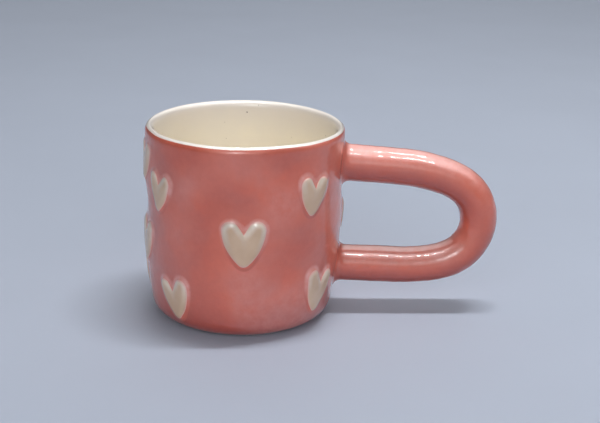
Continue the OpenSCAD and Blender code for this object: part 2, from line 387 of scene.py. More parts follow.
def hand_pressed(points):
    """Moves points of the plain turned shape to the hand-made one: the wall in and out by
    its dents, which fade towards the axis and the foot, the rim up and down by its waves,
    and everything sideways by the lean."""
    radius, azimuth, z = ring_place(points)
    full = rise(radius, 0, FULL_DENT_SHARE * rim_radius) * rise(z, 0, FULL_DENT_HEIGHT)
    upper = rise(z / cup_height, WAVES_START_SHARE, 1)
    wave = sizes("body").wave * waves(RIM_WAVES, azimuth) / RIM_WAVES_HEIGHT
    pressed = on_ring(radius + dents(azimuth, z) * full, azimuth, z + wave * upper)
    pressed[..., 0] += lean_at(z)
    return pressed


# The plain turned shape

def foot_radius():
    """Radius of the flat foot, inside the rounded heel."""
    s = sizes("body")
    return rim_radius - s.heel_in - s.heel_round


def lip_centre():
    """Radius and height of the middle of the rounded lip."""
    half = sizes("body").wall / 2
    return np.array([rim_radius - half, cup_height - half])


def side_radius(z):
    """Outer radius of the side: it fills out from the heel to half height and flares a
    little to the rim, by a square on each side of half height."""
    s = sizes("body")
    waist_r = rim_radius - s.waist_in
    heel_r = rim_radius - s.heel_in
    heel_z = foot_step + s.heel_round
    waist_z = cup_height / 2
    below = waist_r - (waist_r - heel_r) * ((waist_z - z) / (waist_z - heel_z)) ** 2
    above = waist_r + (rim_radius - waist_r) * ((z - waist_z) / (lip_centre()[1] - waist_z)) ** 2
    return np.where(z < heel_z, heel_r, np.where(z < waist_z, below, above))


def side_line(start, end, inwards):
    """Radius and height along the side from one height to another, moved inwards."""
    heights = np.linspace(start, end, SIDE_ROWS)[1:-1]
    return np.stack([side_radius(heights) - inwards, heights], 1)


def outer_line(depth):
    """Radius and height of the outer surface, from the foot over the heel to the middle
    of the lip, at a depth below the glaze."""
    s = sizes("body")
    heel_z = foot_step + s.heel_round
    lip = lip_centre()
    return np.concatenate([
        arc((foot_radius(), heel_z), s.heel_round - depth, -90, 0, CORNER_ROWS),
        side_line(heel_z, lip[1], depth),
        arc(lip, s.wall / 2 - depth, 0, 90, LIP_ROWS)])


def inner_line(depth):
    """Radius and height of the inner surface, from the middle of the lip down to close by
    the middle of the floor, at a depth below the glaze."""
    s = sizes("body")
    lip = lip_centre()
    floor_z = clay_floor + s.glaze
    corner_z = floor_z + s.corner_round
    corner_r = side_radius(corner_z) - s.wall - s.corner_round
    middle_r = 0.5
    return np.concatenate([
        arc(lip, s.wall / 2 - depth, 90, 180, LIP_ROWS),
        side_line(lip[1], corner_z, s.wall - depth),
        arc((corner_r, corner_z), s.corner_round + depth, 0, -90, CORNER_ROWS),
        [[middle_r, floor_z - depth]]])


# Meshes

def closed_skin(rings, looped, ends):
    """Points, four-sided faces and end fans of a closed skin over rings of equal length,
    all facing outwards. Looped, the last ring meets the first. Otherwise each end closes on
    a point, given in ends or else the middle of its ring."""
    count, around = rings.shape[:2]
    index = np.arange(count * around).reshape(count, around)
    nxt = np.roll(index, -1, 1)
    upper = np.roll(index, -1, 0) if looped else index[1:]
    upper_nxt = np.roll(upper, -1, 1)
    lower, lower_nxt = (index, nxt) if looped else (index[:-1], nxt[:-1])
    quads = np.stack([lower, lower_nxt, upper_nxt, upper], -1).reshape(-1, 4)
    points = rings.reshape(-1, 3)
    fans = np.zeros((0, 3), int)
    if not looped:
        ends = ends or (rings[0].mean(0), rings[-1].mean(0))
        points = np.concatenate([points, ends])
        first = np.full(around, count * around)
        fans = np.concatenate([
            np.stack([first, nxt[0], index[0]], -1),
            np.stack([first + 1, index[-1], nxt[-1]], -1)])

    # A solid whose faces point outwards has more than 0 volume
    halves = np.concatenate([quads[:, [0, 1, 2]], quads[:, [0, 2, 3]], fans])
    a, b, c = (points[halves[:, k]] for k in range(3))
    if np.einsum("ij,ij->", a, np.cross(b, c)) < 0:
        quads, fans = quads[:, ::-1], fans[:, ::-1]
    return points, quads, fans


def mark(mesh, name, kind, domain, numbers):
    """Gives a mesh an attribute of its own."""
    mesh.attributes.new(name, kind, domain).data.foreach_set("value", numbers)


def skin(name, rings, looped=False, ends=None, sharp=(), values=None):
    """Makes the mesh of a closed skin over rings. sharp lists rings whose edges stay
    sharp. values holds numbers for ring vertices by name, in order, and a vertex past the
    last number has 0."""
    points, quads, fans = closed_skin(rings, looped, ends)
    mesh = bpy.data.meshes.new(name)
    mesh.vertices.add(len(points))
    mesh.vertices.foreach_set("co", (points * MM).astype(np.float32).ravel())
    corners = np.concatenate([quads.ravel(), fans.ravel()])
    fan_starts = quads.size + np.arange(len(fans)) * 3
    starts = np.concatenate([np.arange(len(quads)) * 4, fan_starts])
    mesh.loops.add(len(corners))
    mesh.loops.foreach_set("vertex_index", corners.astype(np.int32))
    mesh.polygons.add(len(starts))
    mesh.polygons.foreach_set("loop_start", starts.astype(np.int32))
    mesh.update(calc_edges=True)
    mesh.shade_smooth()
    if len(sharp):
        pairs = np.zeros(len(mesh.edges) * 2, np.int32)
        mesh.edges.foreach_get("vertices", pairs)
        pairs = pairs.reshape(-1, 2) // rings.shape[1]
        keep = (pairs[:, 0] == pairs[:, 1]) & np.isin(pairs[:, 0], sharp)
        mark(mesh, "sharp_edge", "BOOLEAN", "EDGE", keep)
    for key, numbers in (values or {}).items():
        full = np.zeros(len(points), np.float32)
        full[:numbers.size] = numbers.ravel()
        mark(mesh, key, "FLOAT", "POINT", full)
    mesh.validate()
    return mesh


def piece(name, node, slot, material, rings, **shape):
    """Makes a skin of rings and links it as a piece that rides on the body and stands for
    its node."""
    mesh = skin(node, rings, **shape)
    thing = bpy.data.objects.new(name, mesh)
    bpy.context.scene.collection.objects.link(thing)
    mesh.materials.append(finish(material))
    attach(thing, BODY)
    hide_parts(node)


# The clay body

def clay_lines():
    """Lines of radius and height of the clay under its glaze: its outer and inner face,
    the inner face above the rounded corner, and the two points where the wall's faces meet
    the floor slab."""
    s = sizes("body")
    outer = even(outer_line(s.glaze), CLAY_STEP)
    inner = even(inner_line(s.glaze), CLAY_STEP)
    corner_z = clay_floor + s.glaze + s.corner_round
    outer_r = np.interp(clay_floor, outer[:, 1], outer[:, 0])
    inner_r = side_radius(corner_z) - s.wall + s.glaze
    return SimpleNamespace(
        outer=outer, inner=inner, straight=inner[inner[:, 1] > corner_z],
        outer_foot=[[outer_r, clay_floor]], inner_foot=[[inner_r, clay_floor]])


def clay_piece(node, section, **shape):
    """A piece of bare clay, turned from its section and pressed by hand."""
    rings = hand_pressed(turned(section, AROUND_CLAY))
    piece(node + "_clay", node, "bare_clay", "Bare clay", rings, **shape)


def floor_slab():
    """A disc: flat below, with a small round at the foot's edge, then the side as far as
    the wall, and flat on top."""
    middle_r = 1
    edge_round = 0.35
    edge_gap = 0.5
    clay = clay_lines()
    foot_r = foot_radius()
    under = flat(middle_r, foot_r - edge_gap, 0)
    edge = arc((foot_r - edge_round, edge_round), edge_round, -80, 0, 5)
    side = clay.outer[clay.outer[:, 1] < clay_floor - JOINT_GAP]
    top = flat(clay.outer_foot[0][0], middle_r, clay_floor)
    section = np.concatenate([under, edge, side, top])
    clay_piece("floor_slab", section, sharp=[len(section) - len(top)])


def wall():
    """A tube: up the outer face, over the lip and down the inner face to the slab."""
    clay = clay_lines()
    standing = clay.outer[clay.outer[:, 1] > clay_floor + JOINT_GAP]
    section = np.concatenate([clay.outer_foot, standing, clay.straight[1:], clay.inner_foot])
    clay_piece("wall", section, looped=True)


def seam_coil():
    """A ring that fills the corner between wall and slab, with a hollow face."""
    thinnest = 0.02
    clay = clay_lines()
    heights = clay.inner[:, 1]
    face = clay.inner[(heights <= clay.straight[-1, 1]) & (heights > clay_floor + thinnest)]
    clay_piece("seam_coil", np.concatenate([clay.inner_foot, face]), looped=True)


# The coats

# The edge of the cream hangs this far below its level on average, and its waves fade over
# this height, in millimetres
LAP_HANG = 0.15
LAP_FADE = 0.6


def pink_coat():
    """The pink coat, a skin on the side that stops where the cream laps over it."""
    glaze = sizes("body").glaze
    level = cup_height - sizes("body").rim_lap
    face = even(outer_line(0), SIDE_STEP)
    face = face[:np.sum(face[:, 1] < level) + 1]
    back = even(outer_line(glaze), BACK_STEP)
    back = back[back[:, 1] < level]
    rings = turned(np.concatenate([face, back[::-1]]), AROUND_COAT)
    piece("outer_glaze_coat", "outer_glaze", "pink_glaze", "Pink glaze", hand_pressed(rings),
          looped=True, sharp=[0, len(face) - 1, len(face)], values=glaze_run_and_shading(rings))


def cream_coat():
    """The cream coat, which comes over the lip and down to the middle of the floor. It
    stands over the pink by a hair, which it reaches within a third of the lip."""
    glaze = sizes("body").glaze
    level = cup_height - sizes("body").rim_lap
    lip = even(outer_line(0), LIP_STEP)
    lip = lip[lip[:, 1] > level]
    outwards = lip - lip_centre()
    over = LIP_OVER * rise(np.linspace(0, 3, len(lip)), 0, 1)[:, None]
    lip = lip + over * outwards / np.hypot(*outwards.T)[:, None]
    lip_back = even(outer_line(glaze), LIP_BACK_STEP)
    lip_back = lip_back[lip_back[:, 1] > level]
    face = np.concatenate([lip, even(inner_line(0), INSIDE_STEP)[1:]])
    back = np.concatenate([lip_back, even(inner_line(glaze), BACK_STEP)[1:]])
    rings = turned(np.concatenate([face[::-1], back]), AROUND_COAT)
    piece("liner_glaze_coat", "liner_glaze", "cream_glaze", "Cream glaze",
          hand_pressed(lap_wave(rings)), sharp=[len(face) - 1, len(face)])


def lap_wave(rings):
    """Lets the brushed edge of the cream wander up and down, by waves that fade by the
    exponential of the height away from the edge."""
    s = sizes("body")
    radius, azimuth, z = ring_place(rings)
    near = np.exp(-np.abs(z - (cup_height - s.rim_lap)) / LAP_FADE)
    outside = radius > rim_radius - s.wall / 2
    rings[..., 2] -= near * outside * (LAP_HANG + waves(LAP_WAVES, azimuth))
    return rings


# The handle

ROUND_COIL = np.linspace(0, 2 * pi, AROUND_COIL, endpoint=False)

# Ripples of the rolled coil in rows as the sum of waves reads them, and their usual height
RIPPLES = ((1, 0, 1 / 5.1, 1.0), (0.6, 1, 1 / 2.3, 0), (0.5, 2, 1 / 1.37, 0.5),
           (0.8, -1, 1 / 7.7, 0), (0.35, 3, 1 / 0.83, 0), (0.3, -2, 1 / 0.61, 0))
RIPPLES_HEIGHT = 1.6

# Rows of the coil: of its clay, and on the hollow quarter round at a root, on the coat's
# face and on its back
COIL_ROWS = 80
ROOT_ROWS = 12
ROOT_BACK_ROWS = 6

# In millimetres: steps between rows of the handle's coat, on its face and on its back, how
# far from a root the rows are square to the coil, and the length of the bridge before them
COIL_STEP = 0.9
COIL_BACK_STEP = 3.0
SQUARE_FROM = 11.0
BRIDGE = 6

# The handle's glaze runs as the wall's does over this many rows from the wall. Beyond them
# it carries painted shade below and a painted sheen on top, by how far down a place lies,
# as a share of the coil's radius.
RUN_ROWS = 14
UNDERSIDE_SHADE_RANGE = (-0.3, 0.65)
TOP_SHEEN = 0.45
TOP_SHEEN_RANGE = (0.15, -0.75)


def bent_path(start, end, heading, runs, bends):
    """Distances, places and headings along a path, by the lengths and curvatures of its
    stretches. The curvature is averaged along the way, and what that moves the end by is
    shared out along the path."""
    fine, soften, reach = 0.2, 3.5, 60
    at = np.arange(0, runs.sum(), fine)
    stretch = np.minimum(np.searchsorted(np.cumsum(runs), at), len(runs) - 1)
    padded = np.pad(bends[stretch], reach, mode="edge")
    curvature = np.convolve(padded, bell(reach, fine, soften), "valid")
    angle = heading - np.concatenate([[0], np.cumsum(curvature[:-1] * fine)])
    moves = np.stack([np.cos(angle), np.sin(angle)], 1) * fine
    line = start + np.concatenate([[[0, 0]], np.cumsum(moves[:-1], 0)])
    line += (end - line[-1]) * (at / at[-1])[:, None]
    return SimpleNamespace(at=at, line=line, angle=angle)


def coil_path():
    """The coil's axis in the plane of X and Z: headings turn clockwise along five
    stretches, straight, easy, tight, easy and straight. The tight stretch's radius takes
    the axis from the upper arm's line to the lower one's."""
    s = sizes("handle")

    def towards(angle):
        return np.array([cos(radians(angle)), sin(radians(angle))])

    def step(angle, turn):
        return towards(angle - 90) + towards(angle - turn + 90)

    root_z = cup_height - s.root_drop
    start = np.array([side_radius(root_z), root_z])
    end = np.array([side_radius(s.lower_root), s.lower_root])
    bend_heading = -s.arm_slope - s.upper_ease_turn
    last_heading = -180 - s.lower_slope
    low_heading = last_heading + s.lower_ease_turn
    turn = bend_heading - low_heading
    bend_start = (start + s.arm_len * towards(-s.arm_slope)
                  + s.upper_ease_r * step(-s.arm_slope, s.upper_ease_turn))
    low_step = s.lower_ease_r * step(low_heading, s.lower_ease_turn)
    square = towards(last_heading + 90)
    bend_r = (end - low_step - bend_start) @ square / (step(bend_heading, turn) @ square)
    low_start = bend_start + bend_r * step(bend_heading, turn) + low_step
    runs, bends = np.array([
        (s.arm_len, 0),
        (s.upper_ease_r * radians(s.upper_ease_turn), 1 / s.upper_ease_r),
        (bend_r * radians(turn), 1 / bend_r),
        (s.lower_ease_r * radians(s.lower_ease_turn), 1 / s.lower_ease_r),
        (np.hypot(*(end - low_start)), 0)]).T
    return bent_path(start, end, radians(-s.arm_slope), runs, bends)


def slid_to_wall(points, heading):
    """Slides points along a heading until they lie on the hand-made wall, by steps that
    divide what is left by how fast the heading leaves the wall."""
    steps = 8
    profile = even(outer_line(0), 0.5)
    for _ in range(steps):
        x, y, z = np.moveaxis(points, -1, 0)
        x = x - lean_at(z)
        radius = np.hypot(x, y)
        on_wall = np.interp(z, profile[:, 1], profile[:, 0]) + dents(np.arctan2(x, -y), z)
        rate = (heading[0] * x + heading[1] * y) / radius
        points = points - ((radius - on_wall) / rate)[..., None] * heading
    return points


def ripple(along):
    """How far the rolled coil swells all round it at a distance along it."""
    return sizes("handle").ripple * waves(RIPPLES, ROUND_COIL, along) / RIPPLES_HEIGHT


def ahead(heading):
    """A step of length 1 in the plane of X and Z, by its angle in radians."""
    return np.array([cos(heading), 0, sin(heading)])


def coil_ring(place, heading, radius):
    """A ring, or rings, square to a heading round a place of X and Z. A radius is one
    number or one for each point."""
    out = ahead(heading + pi / 2)
    spokes = np.cos(ROUND_COIL)[:, None] * out + np.sin(ROUND_COIL)[:, None] * [0, 1, 0]
    return np.array([place[0], 0, place[1]]) + np.asarray(radius)[..., None] * spokes


def ring_along(path, distance, radius):
    """A ring of the coil at a distance along its path."""
    place = picked(path.line, path.at, distance)
    return coil_ring(place, np.interp(distance, path.at, path.angle), radius)


def coil_rings(depth, step, root_rows, sunk=0.0):
    """Rings of the handle's skin at a depth below its glaze. At each root a hollow quarter
    round leads from the wall onto the coil, sunk into the wall where it starts. From there
    rows even out to rings square to the path."""
    s = sizes("handle")
    path = coil_path()

    def root(row, way):
        heading = path.angle[row]
        away = way * ahead(heading)
        q = np.radians(np.linspace(90, 0, root_rows))[:, None]
        hollow = s.fillet + depth
        spread = s.coil_r + ripple(path.at[row]) + s.fillet - hollow * np.cos(q)
        on_wall = slid_to_wall(coil_ring(path.line[row], heading, spread), away)
        reach = s.fillet - hollow * np.sin(q) - sunk * rise(np.sin(q), 0.75, 1)
        return on_wall + reach[..., None] * away

    def bridge(a, b):
        rows = max(3, int(BRIDGE / step))
        share = np.linspace(0, 1, rows + 2)[1:-1, None, None]
        return a + (b - a) * share

    first = root(0, 1)
    last = root(-1, -1)[::-1]
    middle = np.array([
        ring_along(path, distance, s.coil_r - depth + ripple(distance))
        for distance in np.arange(SQUARE_FROM, path.at[-1] - SQUARE_FROM, step)])
    return np.concatenate([
        first, bridge(first[-1], middle[0]), middle, bridge(middle[-1], last[0]), last])


def handle_coat(back):
    """The pink coat on the coil and its hollow roots, closed along its back. It carries
    painted shade on its underside and a painted sheen on its top.
    """
    face = coil_rings(0, COIL_STEP, ROOT_ROWS, sunk=ROOT_SUNK)
    rings = np.concatenate([face, back[::-1]])
    rows = np.arange(len(face))
    from_wall = np.minimum(rows, len(face) - 1 - rows)
    near = np.concatenate([rise(from_wall, RUN_ROWS, 0), np.zeros(len(back))])[:, None]
    values = {key: near * share for key, share in glaze_run_and_shading(rings).items()}
    height = rings[..., 2]
    down = (height.mean(1, keepdims=True) - height) / sizes("handle").coil_r
    # Painted shade on the coil's underside and a painted sheen on its top
    values["pool"] = values["pool"] + rise(down, *UNDERSIDE_SHADE_RANGE) * (1 - near)
    values["thin"] = values["thin"] + TOP_SHEEN * rise(down, *TOP_SHEEN_RANGE) * (1 - near)
    piece("handle_glaze_coat", "handle_glaze", "pink_glaze", "Pink glaze", rings, looped=True,
          values=values, sharp=[0, len(face) - 1, len(face), len(rings) - 1])


def clay_coil():
    """The clay coil, whose two ends stop on the wall's clay. Gives its rings back."""
    depth = sizes("body").glaze
    radius = sizes("handle").coil_r - depth - COIL_UNDER
    path = coil_path()
    rings = np.array([ring_along(path, distance, radius)
                      for distance in np.linspace(0, path.at[-1], COIL_ROWS)])
    ends = []
    for row, heading in ((0, path.angle[0]), (-1, path.angle[-1] + pi)):
        away = ahead(heading)
        rings[row] = slid_to_wall(rings[row], away) - depth * away
        ends.append(slid_to_wall(rings[row].mean(0), away) - depth * away)
    piece("handle_clay", "handle", "bare_clay", "Bare clay", rings, ends=ends,
          sharp=[0, len(rings) - 1])
    return rings


def luting(node, back, coil):
    """The slip round a root, between the coat's back and the first rings of the coil."""
    reach = 3
    rings = np.concatenate([back[:ROOT_BACK_ROWS], coil[[reach, 0]]])
    piece(node + "_clay", node, "bare_clay", "Bare clay", rings, looped=True)


# The hearts

# A heart's rings shrink towards its middle, in millimetres on the largest heart: on top
# down to the innermost share of its outline, and on its back by the shares given
HEART_MIDDLE = np.array([0, -0.5])
INNERMOST_SHARE = 0.06
BACK_SHARES = (0.7, 0.4, 0.1)

# The pink on a heart's shoulder has a painted highlight on its upper side and painted shade
# under its lower side: each at its most, as shares, and how far it reaches and lies from the
# heart's outline, in millimetres. The one gives way to the other over shares of the heart's
# half height.
OVER_HIGHLIGHT = 0.85
OVER_REACH = 1.9
UNDER_SHADE = 0.35
UNDER_PLACE = 0.6
UNDER_REACH = 1.3
UPPER_RANGE = (-0.7857, 0.6429)

# The cream on a heart is thin from this share of its edge outwards, and has a painted
# highlight on a crest that lies and reaches so far from the outline, over shares of the
# heart's half height
THIN_FROM_SHARE = 0.45
CREST_PLACE = -1.1
CREST_REACH = 2.2
CREST_RANGE = (-0.4375, 0.8125)


def heart_arcs():
    """The right half of the heart as arcs of centre, radius and angles in degrees: lobe,
    long flank and blunt tip, each tangent to the next, and the cleft with the angle of
    its sides."""
    s = sizes("heart")
    lobe = np.array([s.width / 2 - s.lobe_r, s.height / 2 - s.lobe_r])
    tip = np.array([0, s.tip_r - s.height / 2])
    cleft = np.array([0, s.height / 2 - s.cleft])
    gap = np.hypot(*(tip - lobe))
    onwards = (tip - lobe) / gap
    along = ((s.flank_r - s.lobe_r) ** 2 - (s.flank_r - s.tip_r) ** 2 + gap**2) / (2 * gap)
    aside = np.sqrt((s.flank_r - s.lobe_r) ** 2 - along**2)
    flank = lobe + along * onwards + aside * np.array([onwards[1], -onwards[0]])
    flank_start = degrees(atan2(*(lobe - flank)[::-1]))
    flank_end = degrees(atan2(*(tip - flank)[::-1]))
    to_lobe = lobe - cleft
    cleft_angle = degrees(atan2(*to_lobe) - asin(s.lobe_r / np.hypot(*to_lobe)))
    arcs = ((lobe, s.lobe_r, 180 - cleft_angle, flank_start),
            (flank, s.flank_r, flank_start, flank_end), (tip, s.tip_r, flank_end, -90))
    return arcs, cleft, cleft_angle


def heart_outline(size, grown):
    """Points round a heart, evenly spaced, for a size share and grown all round."""
    arcs, cleft, cleft_angle = heart_arcs()
    half = np.concatenate([[cleft * size + [0, grown / sin(radians(cleft_angle))]]] + [
        arc(centre * size, radius * size + grown, start, end, 30)
        for centre, radius, start, end in arcs])
    half = even(half, 0.1, soften=0.3)
    half[0, 0] = half[-1, 0] = 0
    along = distances(half)
    half = picked(half, along, np.linspace(0, along[-1], AROUND_HEART // 2 + 1))
    return np.concatenate([half, half[-2:0:-1] * [-1, 1]])


def half_distance(u, v, size):
    """Distance outside the right half of the heart, less than 0 inside: the most, over all
    directions, that a place lies beyond where the half ends. It ends at its arcs and at a
    small circle under the cleft."""
    (lobe, flank, tip), cleft = heart_arcs()[:2]
    small_r = 1.2
    small = (cleft - [0, small_r * 1.25], small_r)
    turn = np.linspace(-180, 180, 361)[:-1]
    ray = np.stack([np.cos(np.radians(turn)), np.sin(np.radians(turn))], 1)
    rounds = np.max([ray @ centre + radius for centre, radius in (lobe[:2], tip[:2], small)], 0)
    centre, radius, start, end = flank
    reach = np.where((turn < start) & (turn > end), ray @ centre + radius, rounds) * size
    spots = np.stack([u.ravel(), v.ravel()], 1)
    nearest = np.full(len(spots), -np.inf)
    for direction, limit in zip(ray, reach):
        nearest = np.maximum(nearest, spots @ direction - limit)
    return nearest.reshape(u.shape)


def relief(plan, heart):
    """Height of the pressed heart over the wall, and distance outside its outline. The two
    halves' distances join by a smooth minimum, and the height rises over the shoulder and
    the rounding, by a curve of the fifth power, to a soft crown."""
    blend = 2.8
    crown_share, crown_height, crown_reach = 0.1, 1, 5
    s = sizes("heart")
    u, v = np.moveaxis(plan, -1, 0)
    a = half_distance(-u, v, heart.size)
    b = half_distance(u, v, heart.size)
    joined = np.minimum(a, b) - np.maximum(blend - np.abs(a - b), 0) ** 2 / (4 * blend)
    part = np.clip((s.shoulder - joined) / (s.shoulder + s.round_in), 0, 1)
    smooth = part**3 * (part * (6 * part - 15) + 10)
    out = (u**2 + (v - crown_height) ** 2) / (crown_reach * heart.size) ** 2
    crown = 1 - crown_share + crown_share * np.exp(-out / 2)
    return s.relief * heart.relief * smooth * crown, joined


def on_side(plan, heart, lift):
    """Places points of a heart's own flat plan on the hand-made side: tilted, wrapped
    round the wall at the heart's azimuth and height, lifted square to the plain side."""
    u, v = np.moveaxis(plan, -1, 0)
    t = radians(heart.tilt)
    across = u * cos(t) - v * sin(t)
    z = heart.level * cup_height + u * sin(t) + v * cos(t)
    profile = even(outer_line(0), 0.1)
    lip_height = 1
    radii, heights = profile[profile[:, 1] < cup_height - lip_height].T
    r = np.interp(z, heights, radii)
    flare = np.interp(z, heights, np.gradient(radii, heights))
    tall = np.sqrt(1 + flare**2)
    azimuth = radians(heart.azimuth) + across / rim_radius
    return hand_pressed(on_ring(r + lift / tall, azimuth, z - lift * flare / tall))


def rings_of(outline, shares, centre):
    """Rings that shrink an outline towards a centre by shares from 0 to 1."""
    return centre + (outline - centre) * np.asarray(shares)[:, None, None]


def share_up(plan, heart):
    """How far up a heart its points lie, as shares of half its height."""
    return plan[..., 1] / (sizes("heart").height / 2 * heart.size)


def wobble(outline, seed):
    """Moves an outline's points in and out by a few slow waves, so that it looks brushed
    by hand."""
    amount = 0.22
    rng = np.random.default_rng(seed)
    angle = np.linspace(0, 2 * pi, len(outline), endpoint=False)
    wave = sum(rng.uniform(-1, 1) / k * np.sin(k * angle + rng.uniform(0, 6)) for k in range(2, 9))
    onwards = np.roll(outline, -1, 0) - np.roll(outline, 1, 0)
    normal = np.stack([onwards[:, 1], -onwards[:, 0]], 1) / np.hypot(*onwards.T)[:, None]
    return outline + amount * wave[:, None] * normal


def sprig(heart):
    """A pressed heart: its relief on top, out to where that fades into the wall, and its
    back set into the coat. Its pink has a painted highlight over the shoulder's upper side
    and painted shade under its lower side, and outside it runs and is shaded as the wall's is."""
    edge = 0.25
    s = sizes("heart")
    outline = heart_outline(heart.size, s.shoulder + edge)
    centre = HEART_MIDDLE * heart.size
    shares = np.concatenate([np.linspace(INNERMOST_SHARE, 0.5, 8), np.linspace(0.53, 1, 30)])
    plan = rings_of(outline, shares, centre)
    height, distance = relief(plan, heart)
    top = on_side(plan, heart, height + SKIN_OVER)
    back = on_side(rings_of(outline, (1, *BACK_SHARES), centre), heart, -sizes("body").glaze)
    upward = rise(share_up(plan, heart), *UPPER_RANGE)
    # Painted highlight on the upper shoulder and painted shade under the lower side
    over = OVER_HIGHLIGHT * rise(np.maximum(distance, 0), OVER_REACH, 0) * upward
    under = UNDER_SHADE * rise(np.abs(distance - UNDER_PLACE), UNDER_REACH, 0) * (1 - upward)
    outside = 1 - rise(distance, s.shoulder, 0)
    run = glaze_run_and_shading(top)
    values = {"thin": np.maximum(over, run["thin"] * outside),
              "pool": np.maximum(under, run["pool"] * outside)}
    node = "heart_" + heart.name
    piece(node + "_sprig", node, "pink_sprig", "Pink sprig glaze", np.concatenate([top, back]),
          sharp=[len(top) - 1, len(top)], values=values)


def painted_face(heart, seed):
    """The cream glaze on a heart: a lens whose top follows the relief and whose edge
    rounds down into it. It is thin at its edge and has a painted highlight along the crest
    of its upper lobes."""
    edge_share = 0.2
    s = sizes("heart")
    outline = wobble(heart_outline(heart.size, 0), seed) * heart.face_shares + heart.face_move
    centre = HEART_MIDDLE * heart.size + heart.face_move
    inside = np.linspace(INNERMOST_SHARE, 1 - edge_share, 18)
    shares = np.concatenate([inside, 1 - edge_share * np.linspace(0.94, 0, 12) ** 1.5])
    plan = rings_of(outline, shares, centre)
    height, distance = relief(plan, heart)
    edge = np.clip((shares - 1 + edge_share) / edge_share, 0, 1)[:, None]
    rounded = s.face * np.sqrt(np.clip(1 - edge**2.2, 0, 1))
    top = on_side(plan, heart, height + SKIN_OVER + rounded)
    back_plan = rings_of(outline, (0.985, *BACK_SHARES), centre)
    back = on_side(back_plan, heart, relief(back_plan, heart)[0] - FACE_SUNK)
    thin = np.concatenate([rise(edge, THIN_FROM_SHARE, 1) + 0 * height, np.ones(back.shape[:2])])
    # Painted highlight along the crest of the upper lobes
    crest = (rise(share_up(plan, heart), *CREST_RANGE)
             * rise(np.abs(distance - CREST_PLACE), CREST_REACH, 0))
    node = "heart_" + heart.name
    piece(node + "_face", node + "_glaze", "cream_glaze", "Cream face glaze",
          np.concatenate([top, back]), values={"thin": thin, "crest": crest})


# Finishes

class Nodes:
    """A node tree, with short ways to add nodes to it."""

    def __init__(self, tree):
        self.tree = tree

    def add(self, kind, inputs=None, **settings):
        """Adds a node. Its inputs are values or other nodes' outputs."""
        node = self.tree.nodes.new(kind)
        for key, value in settings.items():
            setattr(node, key, value)
        self.join(node, inputs or {})
        return node

    def join(self, node, inputs):
        """Links or sets a node's inputs."""
        for key, value in inputs.items():
            if isinstance(value, bpy.types.NodeSocket):
                self.tree.links.new(value, node.inputs[key])
            else:
                node.inputs[key].default_value = value

    def between(self, value, low, high, start=0.0, end=1.0):
        """Takes a value from one range to another and holds it there."""
        return self.add("ShaderNodeMapRange", {
            "Value": value, "From Min": low, "From Max": high,
            "To Min": start, "To Max": end}).outputs["Result"]

    def maths(self, operation, a, b):
        """What an operation makes of two values."""
        return self.add("ShaderNodeMath", {0: a, 1: b}, operation=operation).outputs[0]

    def mixed(self, share, a, b):
        """Mixes two colours."""
        return self.add("ShaderNodeMix", {0: share, 6: a, 7: b}, data_type="RGBA").outputs[2]


class Finish(Nodes):
    """A new material. Its patterns read the object's own coordinates, in metres."""

    def __init__(self, name):
        self.material = bpy.data.materials.new(name)
        self.material.use_nodes = True
        super().__init__(self.material.node_tree)
        self.surface = self.tree.nodes["Principled BSDF"]
        self.place = self.add("ShaderNodeTexCoord").outputs["Object"]

    def cloud(self, size, detail=2.0, rough=0.5, distort=0.0):
        """A cloud pattern from 0 to 1, of features about size millimetres across."""
        return self.add("ShaderNodeTexNoise", {
            "Vector": self.place, "Scale": 1 / (size * MM), "Detail": detail,
            "Roughness": rough, "Distortion": distort}).outputs["Fac"]

    def height(self):
        """Height over the table, in millimetres."""
        split = self.add("ShaderNodeSeparateXYZ", {0: self.place})
        return self.maths("MULTIPLY", split.outputs["Z"], 1 / MM)

    def own(self, name):
        """A value that the mesh holds."""
        return self.add("ShaderNodeAttribute", attribute_name=name).outputs["Fac"]

    def patchy(self, name, cloud, low, high, start, end):
        """A value that the mesh holds, broken up by a cloud pattern."""
        return self.maths("MULTIPLY", self.own(name), self.between(cloud, low, high, start, end))

    def colour(self, colour):
        """Sets the surface's colour."""
        self.join(self.surface, {"Base Color": colour})

    def gloss(self):
        """A fired gloss: a clear glassy top over a body whose sheen varies in patches."""
        self.join(self.surface, {
            "Roughness": self.between(self.cloud(9, detail=3), 0.3, 0.7, 0.34, 0.46), "IOR": 1.5,
            "Coat Weight": 1.0, "Coat Roughness": 0.03, "Coat IOR": 1.62})

    def bumps(self, *layers):
        """Bumps from pairs of a pattern and its height in millimetres, one over another."""
        normal = None
        for pattern, height in layers:
            inputs = {"Height": pattern, "Distance": height * MM, "Strength": 1.0}
            if normal:
                inputs["Normal"] = normal
            normal = self.add("ShaderNodeBump", inputs).outputs["Normal"]
        self.join(self.surface, {"Normal": normal})


def pink_glaze(f):
    """The pink coat: salmon pink clouded with mauve, darker where it pools and under painted
    shade, paler where it is thin and under painted highlights and sheen, with finer mottling
    and a few pinholes, glossy, with a fine orange peel."""
    t = tints()
    clouds = f.between(f.cloud(19, detail=1.5, distort=0.5), 0.4, 0.64)
    colour = f.mixed(clouds, t.pink, t.mauve)
    mottle = f.between(f.cloud(3.2, detail=4, rough=0.6), 0.35, 0.7, 0, 0.12)
    # Darker by the pool share, which holds pooled glaze and painted shade
    colour = f.mixed(f.maths("ADD", mottle, f.own("pool")), colour, t.deep)
    # Paler by the thin share, which holds thin glaze and painted highlights and sheen
    thin = f.patchy("thin", f.cloud(4, detail=3, rough=0.6), 0.3, 0.65, 0.4, 1)
    colour = f.mixed(thin, colour, t.blush)
    pinholes = f.between(f.cloud(0.55, detail=1, rough=0.4), 0.80, 0.83, 0, 0.5)
    f.colour(f.mixed(pinholes, colour, t.speck))
    f.gloss()
    f.bumps((f.cloud(7), 0.2), (f.cloud(3), 0.14), (f.cloud(0.9), 0.02))


